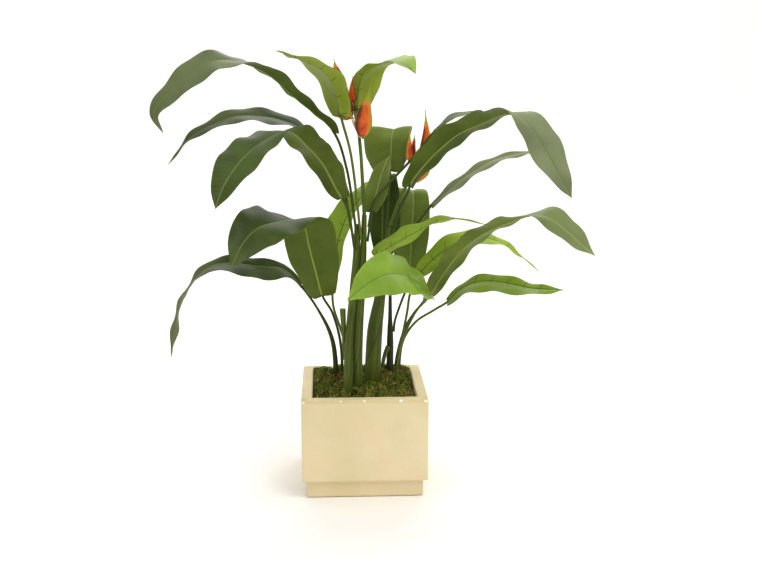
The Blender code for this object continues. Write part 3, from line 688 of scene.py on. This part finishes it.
bracts = {
    "bract_left_1": dict(
        root=(-4, -21.4), heading=0, halves=(41, 41), full=2.2, widest=0.3,
        knots=[(4, 702, -1.1), (4, 716, -0.4), (6, 735, 1.5), (9, 757, 2.2), (13, 780, 2.2), (18, 808, 2)]),
    "bract_left_2": dict(
        root=(-15, -8), heading=180, halves=(44, 44), full=4.0,
        knots=[(2.2, 741), (15, 752), (27, 770), (30, 795), (33, 822), (40, 856)]),
    "bract_left_3": dict(
        root=(-15, -7), heading=180, halves=(16, 16), full=2.5,
        knots=[(0.5, 768.5), (3, 780), (5, 795), (5, 808), (3, 822)]),
    "bract_right_1": dict(
        root=(95, 19.9), heading=0, halves=(36, 36), full=2.6,
        knots=[(4, 612), (14, 622), (25, 640), (31, 668), (33, 700), (32, 730), (30, 757)]),
    "bract_right_2": dict(
        root=(98, 24.6), heading=180, halves=(18, 18), full=2.2,
        knots=[(3, 650), (2, 664), (3, 682), (2, 716)]),
    "bract_right_3": dict(
        root=(103, 32), heading=60, halves=(14, 14), full=2.2,
        knots=[(0, 658.5), (3, 672), (4, 690), (4, 706)]),
}
bractLook = {**leafLook, "fold": 55, "cup": 32, "thickness": 1.8, "rows": 70, "wave": 0, "veins": 0.05,
             "rough": 0.3, "lobe": 0, "ribHigh": 0.6,
             "across": [0, 0.06, 0.14, 0.25, 0.38, 0.52, 0.66, 0.8, 0.9, 0.96, 0.99]}
# where the green beak of each bract starts, as a share of its length
beakFrom = dict(bract_left_1=0.56, bract_left_2=0.84, bract_left_3=0.9, bract_right_1=0.74, bract_right_2=0.6,
                bract_right_3=0.7)


def bractOutline(u, widest, full):
    return np.minimum(1, (u / widest + 0.03) ** 0.6) * (1 - u**full) ** 1.8


# what the bracts share; sink is how far the keel lies behind the middle line, as a share of its depth
bractForm = dict(bladeFrom=0, foot=2.2, widest=0.2, sink=0.5, outline=bractOutline)


def bractFinish():
    f = Finish("waxy bract", roughness=0.45, specular=0.22, coat=0.1, coatRoughness=0.4)
    edge, tip, beak = f.value("edge").abs(), f.value("tip"), f.value("beak")
    cloud = f.noise(45.0, 4)
    streak = f.noise(1.0, 3, f.vector(f.value("run") * 30, f.value("across") * 420, 0.0))
    middle = f.mix(cloud.ramp(0.3, 0.7), srgb(192, 44, 8), srgb(222, 86, 18))
    body = f.mix(streak.ramp(0.35, 0.75, 0, 0.6), middle, srgb(238, 130, 44))
    green = f.mix(cloud.ramp(0.35, 0.65), srgb(128, 156, 34), srgb(170, 178, 52))
    orange = srgb(240, 138, 52)
    keel = edge + cloud * 0.1
    body = f.mix(keel.ramp(0.14, 0.55, 0.85, 0), body, orange)
    body = f.mix(keel.ramp(0.1, 0.24, 0.85, 0), body, green)
    body = f.mix(keel.ramp(0.9, 1.02, 0, 0.4), body, orange)
    lip = keel.ramp(0.72, 0.98) * beak.ramp(0.2, 0.7, 1, 0)
    body = f.mix(lip * 0.85, body, srgb(78, 28, 12))
    far = beak + cloud * 0.3
    body = f.mix(far.ramp(0.14, 0.42), body, orange)
    body = f.mix(far.ramp(0.28, 0.6), body, green)
    body = f.mix(tip.ramp(0.0, 0.08, 0.55, 0), body, srgb(112, 130, 38))
    return f.surface(body, streak + cloud, 0.3, 0.0004, cloud.ramp(0.3, 0.7, 0.34, 0.5))


# the planter, cast in one piece: foot, body, flat rim and hollow, all in millimetres

planterLook = dict(side=250, height=204, wall=22, edge=2.5, footHeight=35, footSetback=9, floor=40, cell=2.4,
                   uneven=0.4, cornerWear=2.6, cornerReach=11, topReach=12, chipDepth=0.42, paleAbove=200,
                   chips=[(-121, 203, 5.0), (-47, 203, 3.6), (-1, 203, 3.4), (71, 203, 5.2), (120, 203, 4.6),
                          (-21, 197, 2.6), (102, 120, 2.8), (109, 2, 5.0)])  # across, height and size
inside = (planterLook["side"] / 2 - planterLook["wall"]) * mm  # from the middle to the inner faces


def castFinish():
    f = Finish("cast planter", roughness=0.78, specular=0.35)
    z = f.axis("Z")
    worn = f.value("worn")
    cloud = f.noise(7.0, 3)
    peach = f.noise(12.0, 2, roughness=0.4)
    grain = f.noise(420.0, 3)
    specks = f.cells(150.0)
    colour = f.mix(cloud.ramp(0.35, 0.65), srgb(218, 204, 160), srgb(228, 214, 174))
    colour = f.mix(peach.ramp(0.5, 0.7, 0, 0.5), colour, srgb(230, 202, 162))
    colour = f.mix(grain.ramp(0.35, 0.75, 0, 0.16), colour, srgb(206, 186, 138))
    colour = f.mix(specks.ramp(0.06, 0.13, 0.28, 0), colour, srgb(176, 150, 104))
    edgeLine = (z + cloud * 0.008).ramp(0.199, 0.203) * (z + cloud * 0.004).ramp(0.2035, 0.2055, 1, 0)
    colour = f.mix(edgeLine * 0.4, colour, srgb(206, 180, 128))
    colour = f.mix(z.ramp(0.03, 0.036, 0.3, 0), colour, srgb(214, 192, 146))
    colour = f.mix(worn.ramp(0.1, 0.6), colour, srgb(252, 246, 226))
    height = grain + cloud * 2 + specks * 0.5
    return f.surface(colour, height, 0.35, 0.0004, grain.ramp(0.3, 0.7, 0.72, 0.88))


def buildPlanter():
    form = planterLook
    side, height, foot = form["side"] * mm, form["height"] * mm, form["footHeight"] * mm
    floor = form["floor"] * mm
    near = 0.1 * mm
    deselectAll()
    bpy.ops.mesh.primitive_cube_add(size=1, location=(0, 0, (height + foot) / 2))
    pot = newest("planter_look")
    pot.scale = (side, side, height - foot)
    bpy.ops.object.transform_apply(location=True, rotation=True, scale=True)
    bpy.ops.object.mode_set(mode="EDIT")
    pickWhere(pot, "FACE", lambda face: face.normal.z > 0.9)
    bpy.ops.mesh.inset(thickness=form["wall"] * mm)
    bpy.ops.mesh.extrude_region_move(TRANSFORM_OT_translate={"value": (0, 0, floor - height)})
    pickWhere(pot, "FACE", lambda face: face.normal.z < -0.9)
    bpy.ops.mesh.inset(thickness=form["footSetback"] * mm)
    bpy.ops.mesh.extrude_region_move(TRANSFORM_OT_translate={"value": (0, 0, -foot)})
    # the corners under the body and on the inner floor stay sharp
    footHalf = side / 2 - form["footSetback"] * mm

    def sharp(point):
        reach = max(abs(point.co.x), abs(point.co.y))
        underBody = abs(point.co.z - foot) < near and reach < footHalf + near
        return underBody or (abs(point.co.z - floor) < near and reach < inside + near)

    pickWhere(pot, "EDGE", lambda edge: min(v.co.z for v in edge.verts) < near
              or not any(sharp(v) for v in edge.verts))
    bpy.ops.mesh.bevel(offset=form["edge"] * mm, segments=3, profile=0.5, affect="EDGES")
    bpy.ops.object.mode_set(mode="OBJECT")
    even = pot.modifiers.new("even cells", "REMESH")
    even.mode = "VOXEL"
    even.voxel_size = form["cell"] * mm
    bpy.ops.object.modifier_apply(modifier=even.name)
    # the cast skin is a little uneven, worn at the upper corners and chipped along the front edge
    places = points(pot)
    facing = points(pot, "normal")
    slow = np.array([noise.noise(Vector(place) * 16) for place in places])
    quick = np.array([noise.noise(Vector(place) * 85) for place in places])
    sink = form["uneven"] * (0.35 * (slow + 1) + 0.25 * (quick + 1)) / 1.2
    worn = np.zeros(len(places))
    for x, z, size in form["chips"]:
        y = -(footHalf if z < form["footHeight"] else side / 2)
        away = np.linalg.norm(places - np.array([x * mm, y, z * mm]), axis=1) / (size * mm)
        hollow = np.clip(1 - (away + 0.25 * quick) ** 2, 0, 1)
        sink += form["chipDepth"] * size * hollow
        worn = np.maximum(worn, hollow * (z > form["paleAbove"]))
    places -= facing * sink[:, None] * mm
    corner = np.exp(-((side / 2 - np.abs(places[:, 0])) / (form["cornerReach"] * mm)) ** 2)
    corner *= facing[:, 1] < 0.2
    topReach = form["topReach"] * mm
    top = np.clip((places[:, 2] - height + topReach) / topReach, 0, 1) * (places[:, 1] < -inside)
    places[:, 2] -= form["cornerWear"] * mm * corner * top
    setPoints(pot, places)
    addValues(pot, "worn", worn)
    smoothShade(pot, 60)
    return pot


dress(buildPlanter(), castFinish(), "planter_cast", "planter")
print("planter built")

# soil under the moss

soilSkin = Finish("planting soil", roughness=0.95, specular=0.2)
crumbs = soilSkin.noise(240.0, 5)
soilBody = soilSkin.mix(crumbs.ramp(0.3, 0.7), srgb(38, 27, 19), srgb(78, 58, 40))
soilBody = soilSkin.mix(soilSkin.cells(300.0).ramp(0.1, 0.3, 0.5, 0), soilBody, srgb(104, 84, 58))
soilSkin.surface(soilBody, crumbs, 0.8, 0.002)
for slot in nodes["soil"].material_slots:
    slot.material = soilSkin.material

# sheet moss: a lumpy mound and thousands of curled strands on it

mossLook = dict(top=196, mound=15, moundAt=(25, 30), moundSpread=55, back=9, backFrom=70, lump=8,
                smallLump=4.5, crumb=1.1, edgeFall=7, soilTop=184.3, cells=84, wallGap=0.6)
strandLook = dict(count=4300, rings=7, sides=3, length=(7, 18), thick=(0.35, 0.95), taper=0.65, curl=2.6,
                  arch=(1.5, 7), lean=(0.6, 1.6), tone=(0.42, 0.2), patchy=0.75, sunk=0.8, wallGap=2.2)


def mossHeight(x, y):
    fall = max(0, max(abs(x), abs(y)) / inside - 0.8) / 0.2
    away = math.hypot(x - mossLook["moundAt"][0] * mm, y - mossLook["moundAt"][1] * mm)
    mound = mossLook["mound"] * math.exp(-away**2 / (2 * (mossLook["moundSpread"] * mm) ** 2))
    mound += mossLook["back"] * min(1, max(0, y / (mossLook["backFrom"] * mm)))  # heaped against the back rim
    lumps = mossLook["lump"] * noise.noise((x * 45, y * 45, 0.3)) \
        + mossLook["smallLump"] * noise.noise((x * 120, y * 120, 4.0))
    return (mossLook["top"] + mound + lumps - mossLook["edgeFall"] * fall) * mm


def mossFinish():
    f = Finish("sheet moss", roughness=0.9, specular=0.2)
    shade = f.value("shade")
    patch = f.noise(24.0, 3)
    aside = f.node("ShaderNodeMapping", {}, {"Vector": f.place(), "Location": (3.0, 1.0, 0.0)})
    dry = f.noise(15.0, 2, aside)
    fine = f.noise(190.0, 4)
    colour = f.mix(shade.ramp(0.1, 0.9), srgb(44, 48, 10), srgb(178, 176, 66))
    colour = f.mix(patch.ramp(0.45, 0.65, 0, 0.5), colour, srgb(112, 136, 36))
    colour = f.mix(dry.ramp(0.56, 0.68, 0, 0.7), colour, srgb(126, 94, 56))
    colour = f.mix(shade.ramp(0.72, 0.9, 0, 0.85), colour, srgb(208, 200, 112))
    colour = f.mix(fine.ramp(0.35, 0.7, 0.35, 0), colour, srgb(38, 40, 14))
    return f.surface(colour, fine, 0.6, 0.001)


def buildMossMound():
    deselectAll()
    bpy.ops.mesh.primitive_grid_add(x_subdivisions=mossLook["cells"], y_subdivisions=mossLook["cells"],
                                    size=2 * (inside - mossLook["wallGap"] * mm))
    mound = newest("moss_mound")
    places = points(mound)
    crumb = mossLook["crumb"] * mm
    places[:, 2] = [mossHeight(x, y) + crumb * noise.noise((x * 330, y * 330, 1.0)) for x, y, _ in places]
    setPoints(mound, places)
    # its side runs down to the soil
    bpy.ops.object.mode_set(mode="EDIT")
    bpy.ops.mesh.select_all(action="SELECT")
    bpy.ops.mesh.region_to_loop()
    bpy.ops.mesh.extrude_edges_move(TRANSFORM_OT_translate={"value": (0, 0, -0.2)})
    bpy.ops.mesh.edge_face_add()
    bpy.ops.object.mode_set(mode="OBJECT")
    places = points(mound)
    places[places[:, 2] < 0.1, 2] = mossLook["soilTop"] * mm
    setPoints(mound, places)
    faceOutward(mound)
    addValues(mound, "shade", [0.12 + 0.3 * noise.noise(Vector(place) * 90) for place in points(mound)])
    smoothShade(mound, 60)
    return mound


# one straight three-sided strand is modelled first, and each copy gets its own length, curl and arch
def buildMossStrands():
    draw = random.Random(11)
    look = strandLook
    rings, sides = look["rings"], look["sides"]
    turns = np.arange(sides + 1) * math.tau / sides
    top = mossLook["top"] * mm
    straight = np.empty((rings, sides + 1, 3))
    straight[..., 0] = np.arange(rings)[:, None] * mm
    straight[..., 1] = np.cos(turns) * mm
    straight[..., 2] = np.sin(turns) * mm + top
    model = rolledTube("straight_strand", straight)
    flat = points(model)
    ring = np.rint(flat[:, 0] / mm).astype(int)
    side = np.rint(np.arctan2(flat[:, 2] - top, flat[:, 1]) * sides / math.tau).astype(int) % sides
    limit = inside - look["wallGap"] * mm
    strands = []
    for _ in range(look["count"]):
        x, y = draw.uniform(-limit, limit), draw.uniform(-limit, limit)
        heading = draw.uniform(0, math.tau)
        curl = draw.uniform(-look["curl"], look["curl"])
        length = draw.uniform(*look["length"]) * mm
        thick = draw.uniform(*look["thick"]) * mm
        arch = draw.uniform(*look["arch"]) * mm
        lean = draw.uniform(*look["lean"])
        tone = draw.gauss(*look["tone"]) + look["patchy"] * noise.noise((x * 110, y * 110, 2.0))
        places = np.empty((rings, sides, 3))
        for i in range(rings):
            share = i / (rings - 1)
            turn = heading + curl * share
            lift = mossHeight(x, y) - look["sunk"] * mm + arch * math.sin(math.pi * share**lean)
            slim = thick * (1 - look["taper"] * share)
            wide = slim * np.cos(turns[:-1])
            places[i, :, 0] = x - math.sin(turn) * wide
            places[i, :, 1] = y + math.cos(turn) * wide
            places[i, :, 2] = lift + slim * np.sin(turns[:-1])
            x = min(limit, max(-limit, x + math.cos(turn) * length / rings))
            y = min(limit, max(-limit, y + math.sin(turn) * length / rings))
        strand = addObject("strand", model.data.copy())
        setPoints(strand, places[ring, side])
        addValues(strand, "shade", np.full(len(flat), min(1, max(0, tone))))
        strands.append(strand)
    bpy.data.objects.remove(model)
    cover = joinAll(strands, "moss_strands")
    faceOutward(cover)
    smoothShade(cover, 70)
    return cover


mossSkin = mossFinish()
dress(buildMossMound(), mossSkin, "moss", "moss")
dress(buildMossStrands(), mossSkin, "moss")
print("moss laid")

# stems and stalks are built next

stemSkins = {name: stemFinish(name, **colours) for name, colours in stemSkinLook.items()}
for forms, look in ((stems, stemLook), (flowerStalks, flowerStalkLook), (stubs, stubLook)):
    for name, form in forms.items():
        rings, values = tubeRings(form["middle"], form["radii"], phase=form.get("phase", 0), **look)
        dress(rolledTube(name + "_look", rings, values), stemSkins[form["skin"]], "stem", name)
print("stems built")

# then the leaves and bracts

leafSkins = {tone: leafFinish(tone + " leaf", **look) for tone, look in leafSkinLook.items()}
for number, (name, form) in enumerate(leaves.items()):
    shape = {key: value for key, value in form.items() if key != "tone"}
    rings, values = leafRings(leafLook, phase=1.7 * number, tipVeins=ridgedTips.get(name, 0), **shape)
    # painted sheen: how grey the outer end of this leaf is painted, growing from the given share of its
    # length
    grey, greyFrom = sheenByLeaf.get(name, (0, 0))
    values["painted_sheen"] = grey * np.clip((values["tip"] - greyFrom) / 0.2, 0, 1)
    tone = form.get("tone", "dark")
    skin = leafSkins[ownGreen.get(name, tone)]
    dress(rolledTube(name + "_look", rings, values), skin, "leaf_" + tone, name)
print("leaves built:", len(leaves))

bractSkin = bractFinish()
for name, form in bracts.items():
    rings, values = leafRings(bractLook, **{**bractForm, **form})
    values["beak"] = np.clip((values["tip"] - beakFrom[name]) / (1 - beakFrom[name]), 0, 1)
    dress(rolledTube(name + "_look", rings, values), bractSkin, "bract", name)
print("bracts built")

# cream florets in the mouth of the lowest bract

floretLook = dict(foot=(-2.6, -20.7, 705.8), count=5, apart=0.8, lean=9, leanStep=4, turn=178, turnStep=4,
                  length=47, longer=7, radii=[2.2, 1.7, 0.5])
petalLook = dict(around=16, rows=26, sheathDepth=0.5, sheathTurns=0.0)


def buildFlorets():
    draw = random.Random(4)
    form = floretLook
    foot = np.array(form["foot"])
    petals = []
    for k in range(form["count"]):
        lean = math.radians(form["lean"] + form["leanStep"] * k)
        turn = math.radians(form["turn"] + form["turnStep"] * (k % 3))
        length = form["length"] + form["longer"] * draw.random()
        out = np.array([math.cos(turn) * math.sin(lean), math.sin(turn) * math.sin(lean), math.cos(lean)])
        start = foot - np.array([form["apart"] * k, 0, 0])
        middle = [start, start + out * length * 0.6, start + out * length + 3 * up]
        rings, values = tubeRings(middle, form["radii"], **petalLook)
        petals.append(rolledTube("floret", rings, values))
    return joinAll(petals, "florets_look")


def floretFinish():
    f = Finish("cream floret", roughness=0.45)
    run = f.value("run")
    cloud = f.noise(130.0, 3)
    colour = f.mix(cloud.ramp(0.3, 0.7), srgb(236, 222, 150), srgb(250, 240, 196))
    colour = f.mix(run.ramp(0.03, 0.055, 0, 0.6), colour, srgb(206, 204, 104))
    return f.surface(colour, cloud, 0.3, 0.0004)


dress(buildFlorets(), floretFinish(), "floret", "florets")
print("florets built")

# floor, light and camera

view = dict(lens=52.3, sensor=36, place=(-0.067, -2.175, 0.864), pitch=11.73, yaw=-2.6, sees=50)
sweepLook = dict(colour=(249, 247, 244), halfWidth=9, long=14, front=5, bend=2.2, radius=1.2, under=0.0005,
                 cells=60)  # in metres, with the floor a hair under the planter
softboxes = {
    "key softbox": dict(place=(1.3, -1.3, 2.6), aim=(0, 0, 0.4), size=(1.6, 1.6), power=42,
                        colour=(1, 0.985, 0.96)),
    "fill softbox": dict(place=(-2.2, -2.0, 1.5), aim=(0, 0, 0.4), size=(1.6, 1.6), power=13),
    "back softbox": dict(place=(0.2, 2.4, 2.6), aim=(0, 0, 0.5), size=(2.4, 1.2), power=30),
    "wall softbox": dict(place=(0, 0.6, 3.2), aim=(0, 3.6, 0.9), size=(4.0, 1.0), power=45),
}
roomLight = 0.64


def addCamera():
    camera = addObject("camera", bpy.data.cameras.new("camera"))
    camera.data.lens = view["lens"]
    camera.data.sensor_width = view["sensor"]
    camera.location = view["place"]
    camera.rotation_euler = (math.radians(90 - view["pitch"]), 0, math.radians(view["yaw"]))
    camera.data.clip_end = view["sees"]
    bpy.context.scene.camera = camera


def addSweep():
    form = sweepLook
    deselectAll()
    bpy.ops.mesh.primitive_grid_add(x_subdivisions=2, y_subdivisions=form["cells"], size=2)
    sweep = newest("paper_sweep")
    places = points(sweep)
    along = (places[:, 1] + 1) / 2 * form["long"] - form["front"]
    bend, radius = form["bend"], form["radius"]
    turn = np.clip((along - bend) / radius, 0, math.pi / 2)
    rise = np.maximum(0, along - bend - radius * math.pi / 2)
    y = np.where(along < bend, along, bend + radius * np.sin(turn))
    z = radius * (1 - np.cos(turn)) + rise
    setPoints(sweep, np.column_stack([places[:, 0] * form["halfWidth"], y, z - form["under"]]))
    smoothShade(sweep, 60)
    f = Finish("pale paper", roughness=0.9, specular=0.1)
    f.bsdf.inputs["Base Color"].default_value = srgb(*form["colour"])
    sweep.data.materials.append(f.material)


def addSoftbox(name, place, aim, size, power, colour=(1, 1, 1)):
    lamp = bpy.data.lights.new(name, "AREA")
    lamp.shape = "RECTANGLE"
    lamp.size, lamp.size_y = size
    lamp.energy = power
    lamp.color = colour
    holder = addObject(name, lamp)
    holder.location = place
    holder.rotation_euler = (Vector(aim) - Vector(place)).to_track_quat("-Z", "Y").to_euler()


addCamera()
addSweep()
for name, form in softboxes.items():
    addSoftbox(name, **form)
world = bpy.context.scene.world or bpy.data.worlds.new("studio")
bpy.context.scene.world = world
world.use_nodes = True
background = world.node_tree.nodes["Background"]
background.inputs["Color"].default_value = (1, 1, 1, 1)
background.inputs["Strength"].default_value = roomLight
bpy.context.scene.view_settings.view_transform = "Standard"
print("stage set")
